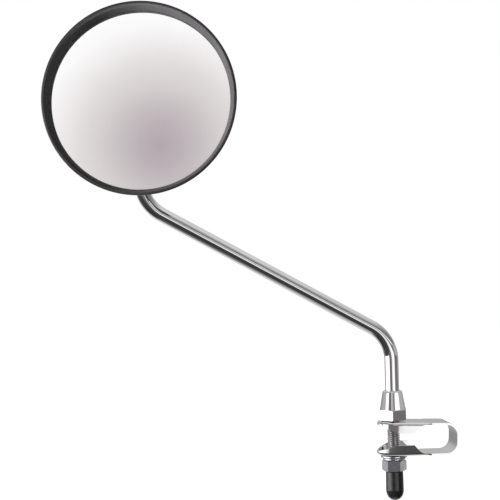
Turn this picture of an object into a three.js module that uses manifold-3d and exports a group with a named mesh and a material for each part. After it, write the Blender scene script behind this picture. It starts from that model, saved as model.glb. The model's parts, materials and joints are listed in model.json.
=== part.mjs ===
// A handlebar mirror: a round mirror head on a ball joint, a bent chrome arm, and a
// sheet-steel strap clamp closed by one nut on the arm's threaded stud.
//
// Millimetres, +Z up along the stud. The origin is the middle of the handlebar that the
// strap wraps round. The bar runs along Y, the stud stands at -X, and the mirror faces -Y.

import * as THREE from 'three';
import { mergeVertices } from 'three/addons/utils/BufferGeometryUtils.js';
import Module from 'manifold-3d';

const wasm = await Module();
wasm.setup();

// ---------- driving dimensions ----------

const GAP = 0.3;                     // between pieces that touch
const THIN_GAP = 0.1;                // between flat washers and nuts that rest on each other
const PAST = 1;                      // how far a cutting shape reaches past what it cuts
const degrees = THREE.MathUtils.degToRad;

const BAR_RADIUS = 11.1;             // a 22.2 mm handlebar
const STUD_X = -26.3;                // stud axis to bar middle

const STRAP = {
  thickness: 1.2,
  width: 21,
  outerHeight: 19.6,                 // at the closed end of the loop
  cornerRadius: 6.5,                 // inside radius at the closed end of the loop
  spread: degrees(1),                // how far each leg leans away from the other
  tilt: degrees(2.2),                // how far the strap is turned about the bar, off square to the stud
  skirtDepth: 6.6,                   // how far the turned-in edges reach, plate included
  skirtTipDepth: 2.6,                // the same at the rounded tips
  skirtEnd: -15.4,                   // X where the full-depth edge stops
  skirtRoot: -7.3,                   // X where its hollow-curved end meets the plate
};
const STUD_RADIUS = 4;               // M8
const STUD_HOLE_RADIUS = 4.4;
const THREAD_PITCH = 1.25;
const STUD_LENGTH = 53;

const COLLAR = { hexAcross: 16, hexHeight: 6.5, coneBase: 7.85, coneTop: 5.9, coneHeight: 11.3, edge: 0.6 };
const COLLAR_ROD_BORE = 4.55;
const ROD_IN_COLLAR = 11;

const WASHER = { outer: 8, thickness: 1.35 };
const SPRING_WASHER = { inner: 4.35, outer: 6.9, thickness: 1.45, slotAngle: 0.22 };
const NUT = { across: 13, height: 6.6 };
const CAP = { radius: 5.3, belly: 5.45, length: 18.2, end: 2 };
const FACING = degrees(-104);        // direction that the nut and collar were set to

const ROD_RADIUS = 4.25;
const ROD_BEND = 23.5;
const ROD_TOP_BEND = 12;
const LOWER_CORNER_Z = 62.2;
const DIAGONAL_LENGTH = 172.7;
const DIAGONAL_ANGLE = degrees(30);

const BALL_RADIUS = 6.5;
const BALL_CENTRE = new THREE.Vector3(-174.6, -27, 205.9);
const NECK = { radius: 3, length: 9, shoulder: 2, inBall: 0.5 };

const HEAD_TURN = degrees(9);        // how far the mirror is turned to the left
const HEAD_TILT = degrees(5.6);      // how far it is tilted up

// Head sizes: radii about the mirror's axis, and distances W along it from the ball centre.
const HEAD_RADIUS = 55.5;
const LIP_W = 23;
const LIP_WIDTH = 3;
const LIP_ROUND = 1.2;
const OPENING_RADIUS = 51.2;
const GLASS = { radius: 51.6, edgeW: 14.5, thickness: 2, curve: 900 };
const CARD = { thickness: 1, radius: 51.4 };
const BEZEL = { backW: 10.8, backRadius: 53.4, skirtRadius: 52.65 };
const SHELL = { radius: 53.1, shoulderW: 8.8, rimRadius: 52.5, innerRadius: 49.5, wall: 2.2 };
const DOME = [[28, -2.2], [41, 0.6], [49, 3.6], [52.2, 6.6]];  // radius and W, from the boss outwards
const SOCKET_RADIUS = 8.3;
const LINER = { inner: 6.8, outer: 8 };
const BOSS = { radius: 11.3, backW: -5.6, frontW: 1.9, mouth: 7.9, edge: 1, foot: 3 };
const CUP = { radius: 10.1, backW: 2.2, frontW: 9.9, edge: 1 };
const DISC_SPRING = { inner: 3, outer: 8, thickness: 0.5 };
const HAT = { topW: 11.2, brimW: 8.2, wall: 1, radius: 11.9, brimRadius: 20, edge: 0.4 };
const SCREW = { circle: 16, count: 3, shank: 1.5, tipW: 1.2, head: 2.8, headHeight: 1.8, headEdge: 0.7 };
const POST = { radius: 3.2, footW: -2.6, bore: 1.8, boreW: 0.6 };

const ROUND = 44;                    // segments round a large circle
const SMALL_ROUND = 20;              // segments round a small one

// ---------- helpers ----------

/** A closed geometry as a manifold solid. */
function toSolid(geometry) {
  const bare = geometry.clone();
  bare.deleteAttribute('normal');
  bare.deleteAttribute('uv');
  const merged = mergeVertices(bare, 1e-4);
  return new wasm.Manifold(new wasm.Mesh({
    numProp: 3,
    vertProperties: new Float32Array(merged.attributes.position.array),
    triVerts: new Uint32Array(merged.index.array),
  }));
}

/** A manifold solid as a geometry. */
function toGeometry(solid) {
  const mesh = solid.getMesh();
  const geometry = new THREE.BufferGeometry();
  geometry.setAttribute('position', new THREE.BufferAttribute(new Float32Array(mesh.vertProperties), 3));
  geometry.setIndex(new THREE.BufferAttribute(new Uint32Array(mesh.triVerts), 1));
  geometry.computeVertexNormals();
  return geometry;
}

/** Points of an arc, ends included, angles in radians. */
function arc(x, y, radius, from, to, steps) {
  const points = [];
  for (let i = 0; i <= steps; i += 1) {
    const angle = from + (to - from) * i / steps;
    points.push([x + radius * Math.cos(angle), y + radius * Math.sin(angle)]);
  }
  return points;
}

/** A solid of revolution about Z, from [radius, z] points that run anticlockwise. */
function turned(profile, segments = ROUND) {
  const points = profile.map(([radius, z]) => new THREE.Vector2(radius, z));
  return new THREE.LatheGeometry(points, segments).rotateX(Math.PI / 2);
}

/** A ring with a closed profile. */
function turnedRing(profile, segments = ROUND) {
  return turned([...profile, profile[0]], segments);
}

/** A flat outline pushed up from z = low to z = high. */
function raised(shape, low, high, curveSegments = 12) {
  const options = { depth: high - low, bevelEnabled: false, curveSegments };
  return new THREE.ExtrudeGeometry(shape, options).translate(0, 0, low);
}

/** A side outline in X and Z, pushed across the full width in Y. */
function across(shape, width, curveSegments = 8) {
  const options = { depth: width, bevelEnabled: false, curveSegments };
  return new THREE.ExtrudeGeometry(shape, options).rotateX(Math.PI / 2).translate(0, width / 2, 0);
}

/** A regular hexagon, with the middle of one flat towards the angle facing. */
function hexagon(acrossFlats, facing) {
  const corner = acrossFlats / 2 / Math.cos(Math.PI / 6);
  const points = [];
  for (let i = 0; i < 6; i += 1) {
    const angle = facing + Math.PI / 6 + i * Math.PI / 3;
    points.push(new THREE.Vector2(corner * Math.cos(angle), corner * Math.sin(angle)));
  }
  return new THREE.Shape(points);
}

function cylinder(radius, low, high, segments = SMALL_ROUND) {
  return turned([[0, low], [radius, low], [radius, high], [0, high]], segments);
}

/** One bend of a rod: an arc from a start point, about an axis through a centre. */
class Bend extends THREE.Curve {
  constructor(centre, start, axis, angle) {
    super();
    Object.assign(this, { centre, spoke: start.clone().sub(centre), axis, angle });
  }

  getPoint(t, target = new THREE.Vector3()) {
    return target.copy(this.spoke).applyAxisAngle(this.axis, this.angle * t).add(this.centre);
  }
}

/** Straight runs between corners, with a round bend of the given radius at each inner corner. */
function bentPath(corners, radii) {
  const path = new THREE.CurvePath();
  let from = corners[0];
  radii.forEach((radius, i) => {
    const corner = corners[i + 1];
    const inward = corner.clone().sub(from).normalize();
    const outward = corners[i + 2].clone().sub(corner).normalize();
    const angle = inward.angleTo(outward);
    const reach = radius * Math.tan(angle / 2);
    const start = corner.clone().addScaledVector(inward, -reach);
    const axis = inward.clone().cross(outward).normalize();
    const centre = start.clone().addScaledVector(axis.clone().cross(inward), radius);
    path.add(new THREE.LineCurve3(from, start));
    path.add(new Bend(centre, start, axis, angle));
    from = corner.clone().addScaledVector(outward, reach);
  });
  path.add(new THREE.LineCurve3(from, corners[corners.length - 1]));
  return path;
}

const FINISH = {
  chrome: { color: 0xd8d8da, roughness: 0.08, metalness: 1 },
  zinc: { color: 0xb9c0c8, roughness: 0.3, metalness: 1 },
  black: { color: 0x141315, roughness: 0.3, metalness: 0 },
  nylon: { color: 0xe6e2d8, roughness: 0.5, metalness: 0 },
  card: { color: 0x4b4a48, roughness: 0.9, metalness: 0 },
  mirror: { color: 0xf2f2f4, roughness: 0.02, metalness: 1 },
  vinyl: { color: 0x101012, roughness: 0.35, metalness: 0 },
};

function piece(name, geometry, finish) {
  const mesh = new THREE.Mesh(geometry, new THREE.MeshStandardMaterial(FINISH[finish]));
  mesh.name = name;
  return mesh;
}

// ---------- strap clamp ----------

const STRAP_OUTER = STRAP.outerHeight / 2;
const STRAP_INNER = STRAP_OUTER - STRAP.thickness;
const JAW_RADIUS = STRAP.width / 2;
const LEG_END_X = BAR_RADIUS - STRAP.cornerRadius;

/** The strap seen from the side: two legs and the closed loop. */
function strapSide() {
  const tip = STUD_X - JAW_RADIUS;
  const cornerZ = STRAP_INNER - STRAP.cornerRadius;
  const outerRadius = STRAP.cornerRadius + STRAP.thickness;
  const shape = new THREE.Shape();
  shape.moveTo(tip, -STRAP_OUTER);
  shape.absarc(LEG_END_X, -cornerZ, outerRadius, -Math.PI / 2, 0, false);
  shape.absarc(LEG_END_X, cornerZ, outerRadius, 0, Math.PI / 2, false);
  shape.lineTo(tip, STRAP_OUTER);
  shape.lineTo(tip, STRAP_INNER);
  shape.absarc(LEG_END_X, cornerZ, STRAP.cornerRadius, Math.PI / 2, 0, true);
  shape.absarc(LEG_END_X, -cornerZ, STRAP.cornerRadius, 0, -Math.PI / 2, true);
  shape.lineTo(tip, -STRAP_INNER);
  shape.closePath();
  return shape;
}

/** The jaws seen from above: straight sides and a round tip about the stud. */
function jawPlan(inset, endX) {
  const half = JAW_RADIUS - inset;
  const shape = new THREE.Shape();
  shape.moveTo(endX, -half);
  shape.lineTo(endX, half);
  shape.lineTo(STUD_X, half);
  shape.absarc(STUD_X, 0, half, Math.PI / 2, 3 * Math.PI / 2, false);
  shape.closePath();
  return shape;
}

/** The turned-in edge of the upper jaw, seen from the side. */
function skirtSide() {
  const tip = STUD_X - JAW_RADIUS;
  const overlap = STRAP.thickness / 2;
  const shape = new THREE.Shape();
  shape.moveTo(tip - PAST, STRAP_OUTER - overlap);
  shape.lineTo(tip - PAST, STRAP_OUTER - STRAP.skirtTipDepth);
  shape.lineTo(tip + PAST, STRAP_OUTER - STRAP.skirtTipDepth);
  shape.lineTo(STUD_X, STRAP_OUTER - STRAP.skirtDepth);
  shape.lineTo(STRAP.skirtEnd, STRAP_OUTER - STRAP.skirtDepth);
  shape.quadraticCurveTo(
    (STRAP.skirtEnd + STRAP.skirtRoot) / 2, STRAP_INNER,
    STRAP.skirtRoot, STRAP_INNER,
  );
  shape.lineTo(STRAP.skirtRoot, STRAP_OUTER - overlap);
  shape.closePath();
  return shape;
}

/** Leans the legs away from each other, then turns the whole strap about the bar. */
function sprung(geometry) {
  const { position } = geometry.attributes;
  for (let i = 0; i < position.count; i += 1) {
    const lean = Math.max(0, LEG_END_X - position.getX(i)) * Math.tan(STRAP.spread);
    const z = position.getZ(i);
    position.setZ(i, z + Math.sign(z) * lean);
  }
  return geometry.rotateY(STRAP.tilt);
}

/** The height of the outer face of the upper (side 1) or lower (side -1) leg, at a place along X. */
function legFace(side, x) {
  const { tilt, spread } = STRAP;
  const endX = LEG_END_X * Math.cos(tilt) + side * STRAP_OUTER * Math.sin(tilt);
  const endZ = side * STRAP_OUTER * Math.cos(tilt) - LEG_END_X * Math.sin(tilt);
  return endZ + (endX - x) * Math.tan(tilt + side * spread);
}

function clampStrap() {
  const far = BAR_RADIUS + STRAP.thickness + PAST;
  const high = STRAP_OUTER + PAST;
  const plan = toSolid(raised(jawPlan(0, far), -high, high));
  const hollow = toSolid(raised(jawPlan(STRAP.thickness, far), -high - PAST, high + PAST));
  const loop = toSolid(across(strapSide(), STRAP.width + 2 * PAST));
  const upperSkirt = toSolid(across(skirtSide(), STRAP.width + 2 * PAST)).intersect(plan).subtract(hollow);
  const lowerSkirt = upperSkirt.mirror([0, 0, 1]);
  const strap = loop.intersect(plan).add(upperSkirt).add(lowerSkirt);
  const hole = toSolid(cylinder(STUD_HOLE_RADIUS, -2 * high, 2 * high).translate(STUD_X, 0, 0));
  const bent = toSolid(sprung(toGeometry(strap))).subtract(hole);
  return piece('clamp_strap', toGeometry(bent), 'chrome');
}

// ---------- arm ----------

const COLLAR_CORNER = COLLAR.hexAcross / 2 / Math.cos(Math.PI / 6);
const COLLAR_BOTTOM = legFace(1, STUD_X - COLLAR_CORNER) + THIN_GAP;
const COLLAR_TOP = COLLAR_BOTTOM + COLLAR.hexHeight + COLLAR.coneHeight;
const STUD_TOP = COLLAR_TOP - ROD_IN_COLLAR - 1;

function hexCollar() {
  const shoulder = COLLAR.hexHeight;
  const top = shoulder + COLLAR.coneHeight;
  const hex = toSolid(raised(hexagon(COLLAR.hexAcross, FACING + Math.PI / 6), 0, shoulder));
  const cone = toSolid(turned([
    [0, shoulder - PAST],
    [COLLAR.coneBase, shoulder - PAST],
    [COLLAR.coneBase, shoulder],
    [COLLAR.coneTop, top - COLLAR.edge],
    [COLLAR.coneTop - COLLAR.edge, top],
    [0, top],
  ], SMALL_ROUND));
  const bore = toSolid(cylinder(COLLAR_ROD_BORE, -PAST, top + PAST));
  const collar = piece('hex_collar', toGeometry(hex.add(cone).subtract(bore)), 'chrome');
  collar.position.set(STUD_X, 0, COLLAR_BOTTOM);
  return collar;
}

function threadedStud() {
  const chamfer = THREAD_PITCH / 2;
  const stud = piece('threaded_stud', turned([
    [0, -STUD_LENGTH],
    [STUD_RADIUS - chamfer, -STUD_LENGTH],
    [STUD_RADIUS, chamfer - STUD_LENGTH],
    [STUD_RADIUS, -chamfer],
    [STUD_RADIUS - chamfer, 0],
    [0, 0],
  ], SMALL_ROUND), 'zinc');
  stud.position.set(STUD_X, 0, STUD_TOP);
  return stud;
}

/** The corners of the rod's centre line, from inside the collar to the neck of the ball. */
function rodCorners() {
  const lower = new THREE.Vector3(STUD_X, 0, LOWER_CORNER_Z);
  const diagonal = new THREE.Vector3(-Math.cos(DIAGONAL_ANGLE), 0, Math.sin(DIAGONAL_ANGLE));
  return [
    new THREE.Vector3(STUD_X, 0, COLLAR_TOP - ROD_IN_COLLAR),
    lower,
    lower.clone().addScaledVector(diagonal, DIAGONAL_LENGTH),
    new THREE.Vector3(BALL_CENTRE.x, 0, BALL_CENTRE.z),
    new THREE.Vector3(BALL_CENTRE.x, BALL_CENTRE.y + NECK.length + NECK.shoulder, BALL_CENTRE.z),
  ];
}

function armRod() {
  const path = bentPath(rodCorners(), [ROD_BEND, ROD_BEND, ROD_TOP_BEND]);
  const section = new THREE.Shape().absarc(0, 0, ROD_RADIUS, 0, 2 * Math.PI, false);
  const sweep = new THREE.ExtrudeGeometry(section, { extrudePath: path, steps: 72, curveSegments: 8 });
  const insideRod = ROD_RADIUS - 0.05;
  const shoulder = NECK.length + NECK.shoulder;
  const neck = turned([
    [0, NECK.inBall],
    [NECK.radius, NECK.inBall],
    [NECK.radius, NECK.length],
    [insideRod, shoulder],
    [insideRod, shoulder + PAST],
    [0, shoulder + PAST],
  ], SMALL_ROUND).rotateX(-Math.PI / 2).translate(BALL_CENTRE.x, BALL_CENTRE.y, BALL_CENTRE.z);
  return piece('arm_rod', toGeometry(toSolid(sweep).add(toSolid(neck))), 'chrome');
}

function pivotBall() {
  const sphere = toSolid(turned(arc(0, 0, BALL_RADIUS, -Math.PI / 2, Math.PI / 2, 10)
    .map(([radius, z]) => [Math.max(radius, 0), z]), 20));
  const bore = toSolid(cylinder(NECK.radius + GAP, -PAST, BALL_RADIUS + PAST)
    .rotateX(-Math.PI / 2));
  const ball = piece('pivot_ball', toGeometry(sphere.subtract(bore)), 'zinc');
  ball.position.copy(BALL_CENTRE);
  return ball;
}

// ---------- nut, washers and end cap ----------

const WASHER_TOP = legFace(-1, STUD_X + WASHER.outer) - 2 * THIN_GAP;
const SPRING_WASHER_TOP = WASHER_TOP - WASHER.thickness - THIN_GAP;
const NUT_TOP = SPRING_WASHER_TOP - SPRING_WASHER.thickness - THIN_GAP;
const CAP_TOP = NUT_TOP - NUT.height - 2 * THIN_GAP;

function flatWasher() {
  const washer = piece('flat_washer', turnedRing([
    [STUD_HOLE_RADIUS, -WASHER.thickness],
    [WASHER.outer, -WASHER.thickness],
    [WASHER.outer, 0],
    [STUD_HOLE_RADIUS, 0],
  ], SMALL_ROUND), 'zinc');
  washer.position.set(STUD_X, 0, WASHER_TOP);
  return washer;
}

function springWasher() {
  const { inner, outer, thickness, slotAngle } = SPRING_WASHER;
  const shape = new THREE.Shape();
  shape.absarc(0, 0, outer, slotAngle / 2, 2 * Math.PI - slotAngle / 2, false);
  shape.absarc(0, 0, inner, 2 * Math.PI - slotAngle / 2, slotAngle / 2, true);
  const washer = piece('spring_washer', raised(shape, -thickness, 0, SMALL_ROUND), 'zinc');
  washer.position.set(STUD_X, 0, SPRING_WASHER_TOP);
  return washer;
}

function clampNut() {
  const corner = NUT.across / 2 / Math.cos(Math.PI / 6);
  const chamfer = corner - NUT.across / 2;
  const drop = chamfer * Math.tan(Math.PI / 6);
  const blank = toSolid(raised(hexagon(NUT.across, FACING), -NUT.height, 0));
  const rounding = toSolid(turned([
    [0, -NUT.height],
    [corner - chamfer, -NUT.height],
    [corner, drop - NUT.height],
    [corner, -drop],
    [corner - chamfer, 0],
    [0, 0],
  ]));
  const bore = toSolid(cylinder(STUD_RADIUS + GAP, -NUT.height - PAST, PAST));
  const nut = piece('clamp_nut', toGeometry(blank.intersect(rounding).subtract(bore)), 'zinc');
  nut.position.set(STUD_X, 0, NUT_TOP);
  return nut;
}

function endCap() {
  const bellyZ = -0.6 * CAP.length;
  const innerRadius = STUD_RADIUS + GAP;
  const dome = arc(0, 0, 1, -Math.PI / 2, 0, 6)
    .map(([x, z]) => [Math.max(x, 0) * CAP.belly, bellyZ + z * (CAP.length + bellyZ)]);
  const cap = piece('end_cap', turned([
    ...dome,
    [CAP.radius, 0],
    [innerRadius, 0],
    [innerRadius, CAP.end - CAP.length],
    [0, CAP.end - CAP.length],
  ], SMALL_ROUND), 'vinyl');
  cap.position.set(STUD_X, 0, CAP_TOP);
  return cap;
}

// ---------- mirror head, in its own frame: +Z out of the mirror, +Y up ----------

const GLASS_CENTRE_W = GLASS.edgeW + GLASS.radius ** 2 / (2 * GLASS.curve);

/** Points of the glass's curve, shifted along the axis, from the axis out to a radius. */
function glassCurve(shift, radius, steps = 3) {
  const points = [];
  for (let i = 0; i <= steps; i += 1) {
    const r = radius * i / steps;
    points.push([r, GLASS_CENTRE_W + shift - r * r / (2 * GLASS.curve)]);
  }
  return points;
}

/** A disc bent to the glass's curve, between two shifts along the axis. */
function curvedDisc(back, front, radius) {
  return turned([...glassCurve(back, radius), ...glassCurve(front, radius).reverse()]);
}

function mirrorGlass() {
  return piece('mirror_glass', curvedDisc(-GLASS.thickness, 0, GLASS.radius), 'mirror');
}

function backingCard() {
  const front = -GLASS.thickness - GAP / 2;
  return piece('backing_card', curvedDisc(front - CARD.thickness, front, CARD.radius), 'card');
}

const SHELL_RIM_W = GLASS.edgeW + 1.2;

function bezelRing() {
  const glassStop = GLASS.edgeW + GAP;
  const lipOuter = HEAD_RADIUS - LIP_ROUND;
  const lipInner = HEAD_RADIUS - LIP_WIDTH;
  return piece('bezel_ring', turnedRing([
    [OPENING_RADIUS, glassStop],
    [GLASS.radius + GAP / 2, glassStop],
    [GLASS.radius + GAP / 2, SHELL_RIM_W + GAP],
    [BEZEL.skirtRadius, SHELL_RIM_W + GAP],
    [BEZEL.skirtRadius, BEZEL.backW],
    [BEZEL.backRadius, BEZEL.backW],
    [HEAD_RADIUS, LIP_W - LIP_ROUND],
    ...arc(lipOuter, LIP_W - LIP_ROUND, LIP_ROUND, 0, Math.PI / 2, 3).slice(1),
    [lipInner + LIP_ROUND / 2, LIP_W],
    [lipInner, LIP_W - LIP_ROUND / 2],
  ]), 'black');
}

/** The housing: a shallow bowl with a ball socket in its back and three screw posts. */
function housingShell() {
  const ledgeW = GLASS.edgeW - GLASS.thickness - CARD.thickness - GAP;
  const outside = [
    [BOSS.mouth, BOSS.backW],
    [BOSS.radius + BOSS.edge, BOSS.backW],
    [BOSS.radius + BOSS.foot, BOSS.backW + BOSS.edge],
    ...DOME,
    [SHELL.radius, SHELL.shoulderW],
    [SHELL.radius, BEZEL.backW - GAP],
    [SHELL.rimRadius, BEZEL.backW - GAP],
    [SHELL.rimRadius, SHELL_RIM_W],
    [GLASS.radius + GAP, SHELL_RIM_W],
    [GLASS.radius + GAP, ledgeW],
  ];
  const inside = [
    [SHELL.innerRadius, ledgeW],
    [SHELL.innerRadius, DOME[3][1]],
    [DOME[1][0], DOME[1][1] + SHELL.wall],
    [DOME[0][0], DOME[0][1] + SHELL.wall],
    [BOSS.radius, DOME[0][1] + SHELL.wall / 2],
    [BOSS.radius, BOSS.frontW],
    [SOCKET_RADIUS, BOSS.frontW],
    ...arc(0, 0, SOCKET_RADIUS, 0, -Math.PI / 6, 3),
  ];
  let shell = toSolid(turnedRing([...outside, ...inside]));
  for (let i = 0; i < SCREW.count; i += 1) {
    const [x, y] = screwPlace(i);
    const post = toSolid(cylinder(POST.radius, POST.footW, HAT.brimW - GAP, 16).translate(x, y, 0));
    const bore = toSolid(cylinder(POST.bore, POST.boreW, HAT.brimW, 12).translate(x, y, 0));
    shell = shell.add(post).subtract(bore);
  }
  return piece('housing_shell', toGeometry(shell), 'black');
}

function screwPlace(i) {
  const angle = Math.PI / 2 + i * 2 * Math.PI / SCREW.count;
  return [SCREW.circle * Math.cos(angle), SCREW.circle * Math.sin(angle)];
}

/** A liner of the ball: a spherical shell between two angles from the mirror's axis. */
function liner(name, fromAngle, toAngle) {
  const low = Math.PI / 2 - toAngle;
  const high = Math.PI / 2 - fromAngle;
  const outer = arc(0, 0, LINER.outer, low, high, 3);
  const inner = arc(0, 0, LINER.inner, high, low, 3);
  return piece(name, turnedRing([...outer, ...inner], SMALL_ROUND), 'nylon');
}

/** The cup that presses the front liner and the ball into the socket. */
function pressureCup() {
  const start = Math.asin(CUP.backW / SOCKET_RADIUS);
  const hollow = arc(0, 0, SOCKET_RADIUS, Math.PI / 2, start, 4)
    .map(([radius, w]) => [Math.max(radius, 0), w]);
  return piece('pressure_cup', turned([
    ...hollow,
    [CUP.radius, CUP.backW],
    [CUP.radius, CUP.frontW - CUP.edge],
    [CUP.radius - CUP.edge, CUP.frontW],
    [0, CUP.frontW],
  ], SMALL_ROUND), 'nylon');
}

/** A shallow cone of spring steel between the cup and the retaining plate. */
function discSpring() {
  const low = CUP.frontW + THIN_GAP;
  const high = HAT.topW - THIN_GAP;
  const { inner, outer, thickness } = DISC_SPRING;
  return piece('disc_spring', turnedRing([
    [outer, low],
    [outer, low + thickness],
    [inner, high],
    [inner, high - thickness],
  ], SMALL_ROUND), 'zinc');
}

/** The pressed plate, shaped like a hat, that holds the cup down. */
function retainingPlate() {
  const crownInner = HAT.radius - HAT.wall;
  let plate = toSolid(turned([
    [0, HAT.topW],
    [crownInner, HAT.topW],
    [crownInner, HAT.brimW],
    [HAT.brimRadius, HAT.brimW],
    [HAT.brimRadius, HAT.brimW + HAT.wall],
    [HAT.radius, HAT.brimW + HAT.wall],
    [HAT.radius, HAT.topW + HAT.wall - HAT.edge],
    [HAT.radius - HAT.edge, HAT.topW + HAT.wall],
    [0, HAT.topW + HAT.wall],
  ], 32));
  for (let i = 0; i < SCREW.count; i += 1) {
    const [x, y] = screwPlace(i);
    const bore = toSolid(cylinder(POST.bore, HAT.brimW - PAST, HAT.brimW + HAT.wall + PAST, 12)
      .translate(x, y, 0));
    plate = plate.subtract(bore);
  }
  return piece('retaining_plate', toGeometry(plate), 'zinc');
}

function plateScrew(i) {
  const seat = HAT.brimW + HAT.wall + THIN_GAP;
  const [x, y] = screwPlace(i);
  const screw = piece(`plate_screw_${i + 1}`, turned([
    [0, SCREW.tipW],
    [SCREW.shank, SCREW.tipW + SCREW.shank],
    [SCREW.shank, seat],
    [SCREW.head, seat],
    [SCREW.head, seat + SCREW.headHeight / 2],
    [SCREW.head - SCREW.headEdge, seat + SCREW.headHeight],
    [0, seat + SCREW.headHeight],
  ], 12), 'zinc');
  screw.position.set(x, y, 0);
  return screw;
}

function mirrorHead() {
  const outward = new THREE.Vector3(
    -Math.sin(HEAD_TURN) * Math.cos(HEAD_TILT),
    -Math.cos(HEAD_TURN) * Math.cos(HEAD_TILT),
    Math.sin(HEAD_TILT),
  );
  const sideways = new THREE.Vector3(0, 0, 1).cross(outward).normalize();
  const upward = outward.clone().cross(sideways);
  const head = new THREE.Group();
  head.quaternion.setFromRotationMatrix(new THREE.Matrix4().makeBasis(sideways, upward, outward));
  head.position.copy(BALL_CENTRE);
  head.add(
    housingShell(),
    bezelRing(),
    mirrorGlass(),
    backingCard(),
    liner('front_liner', degrees(22), degrees(57)),
    liner('rear_liner', degrees(95), degrees(118)),
    pressureCup(),
    discSpring(),
    retainingPlate(),
  );
  for (let i = 0; i < SCREW.count; i += 1) {
    head.add(plateScrew(i));
  }
  return head;
}

// ---------- assembly ----------

const mirror = new THREE.Group();
mirror.add(
  clampStrap(),
  threadedStud(),
  hexCollar(),
  armRod(),
  pivotBall(),
  flatWasher(),
  springWasher(),
  clampNut(),
  endCap(),
  mirrorHead(),
);

export default mirror;
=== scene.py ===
"""The looks of a handlebar mirror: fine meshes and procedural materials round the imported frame."""

import json
import math

import bmesh
import bpy
from mathutils import Matrix, Vector


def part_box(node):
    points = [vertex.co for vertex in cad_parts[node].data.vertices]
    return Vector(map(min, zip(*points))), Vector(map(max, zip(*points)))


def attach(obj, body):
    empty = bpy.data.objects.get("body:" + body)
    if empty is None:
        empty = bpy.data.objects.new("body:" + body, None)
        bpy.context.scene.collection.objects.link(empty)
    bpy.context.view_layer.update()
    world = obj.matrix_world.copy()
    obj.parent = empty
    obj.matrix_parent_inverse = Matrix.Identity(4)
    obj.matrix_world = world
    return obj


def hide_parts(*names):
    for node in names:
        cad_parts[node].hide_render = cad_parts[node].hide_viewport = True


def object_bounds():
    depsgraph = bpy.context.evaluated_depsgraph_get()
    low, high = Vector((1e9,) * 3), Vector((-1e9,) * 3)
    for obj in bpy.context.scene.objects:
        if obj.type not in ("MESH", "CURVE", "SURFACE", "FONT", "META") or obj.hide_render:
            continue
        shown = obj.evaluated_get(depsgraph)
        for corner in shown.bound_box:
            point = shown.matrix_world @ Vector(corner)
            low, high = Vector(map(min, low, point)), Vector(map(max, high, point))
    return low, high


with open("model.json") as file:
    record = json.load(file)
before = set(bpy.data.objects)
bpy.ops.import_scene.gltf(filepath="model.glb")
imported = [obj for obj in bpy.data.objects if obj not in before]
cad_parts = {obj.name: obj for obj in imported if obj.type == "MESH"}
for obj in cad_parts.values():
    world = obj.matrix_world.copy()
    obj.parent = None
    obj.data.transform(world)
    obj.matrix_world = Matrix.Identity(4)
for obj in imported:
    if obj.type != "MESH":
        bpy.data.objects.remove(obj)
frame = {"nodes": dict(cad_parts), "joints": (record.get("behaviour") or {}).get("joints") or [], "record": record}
CAD_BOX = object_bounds()
JOINTS = {joint["name"]: joint for joint in frame["joints"]}

MM = 0.001
TAU = 2 * math.pi

# ---------- places and sizes taken from the frame ----------


def joint_axis(name):
    return Vector(JOINTS[name]["axis"]).normalized()


def head_place():
    """The head's own frame: Z out of the mirror, Y up, origin at the ball's centre."""
    sideways, upward, outward = (joint_axis(n) for n in ("mirror_tilt", "mirror_pan", "mirror_spin"))
    turn = Matrix((sideways, upward, outward)).transposed().to_4x4()
    return Matrix.Translation(JOINTS["mirror_pan"]["pos_m"]) @ turn


def stud_place():
    """The stud's own frame: Z up its axis, origin level with the middle of the loop."""
    x, y, _ = JOINTS["arm_swivel"]["pos_m"]
    return Matrix.Translation((x, y, 0))


HEAD = head_place()
STUD = stud_place()


def measured(node, place):
    """A CAD node's largest radius about a place's Z axis, and its lowest and highest point along it."""
    inverse = place.inverted()
    points = [inverse @ vertex.co for vertex in frame["nodes"][node].data.vertices]
    radius = max(math.hypot(p.x, p.y) for p in points)
    return radius, min(p.z for p in points), max(p.z for p in points)


# ---------- mesh helpers ----------


def add_object(name, mesh, place=None):
    piece = bpy.data.objects.new(name, mesh)
    bpy.context.scene.collection.objects.link(piece)
    if place is not None:
        mesh.transform(place)
    return piece


def from_lists(name, vertices, faces, place=None):
    """A mesh object with its normals facing out."""
    mesh = bpy.data.meshes.new(name)
    mesh.from_pydata(vertices, [], faces)
    work = bmesh.new()
    work.from_mesh(mesh)
    bmesh.ops.remove_doubles(work, verts=work.verts, dist=1e-7)
    bmesh.ops.recalc_face_normals(work, faces=work.faces)
    work.to_mesh(mesh)
    work.free()
    return add_object(name, mesh, place)


def smooth(piece, angle=32):
    """Smooth shading, with edges sharper than the angle kept crisp."""
    piece.data.shade_smooth()
    piece.data.set_sharp_from_angle(angle=math.radians(angle))
    return piece


def flatten_shading(piece):
    """Keeps flat faces looking flat up to their rounded edges."""
    modifier = piece.modifiers.new("normals", "WEIGHTED_NORMAL")
    modifier.keep_sharp = True
    return bake_modifiers(piece)


def bake_modifiers(piece):
    """Makes a piece's modifiers part of its mesh."""
    graph = bpy.context.evaluated_depsgraph_get()
    mesh = bpy.data.meshes.new_from_object(piece.evaluated_get(graph))
    piece.modifiers.clear()
    piece.data = mesh
    return piece


def combine(piece, other, operation):
    """Joins to a piece, or cuts from it, another solid, which is then removed."""
    modifier = piece.modifiers.new("combine", "BOOLEAN")
    modifier.operation = operation
    modifier.object = other
    modifier.solver = "MANIFOLD"
    bake_modifiers(piece)
    bpy.data.objects.remove(other)
    return piece


def soften(piece, width, segments=2, angle=35):
    """Rounds a piece's sharp edges."""
    modifier = piece.modifiers.new("soften", "BEVEL")
    modifier.width = width
    modifier.segments = segments
    modifier.limit_method = "ANGLE"
    modifier.angle_limit = math.radians(angle)
    modifier.use_clamp_overlap = True
    modifier.harden_normals = False
    return bake_modifiers(piece)


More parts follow.
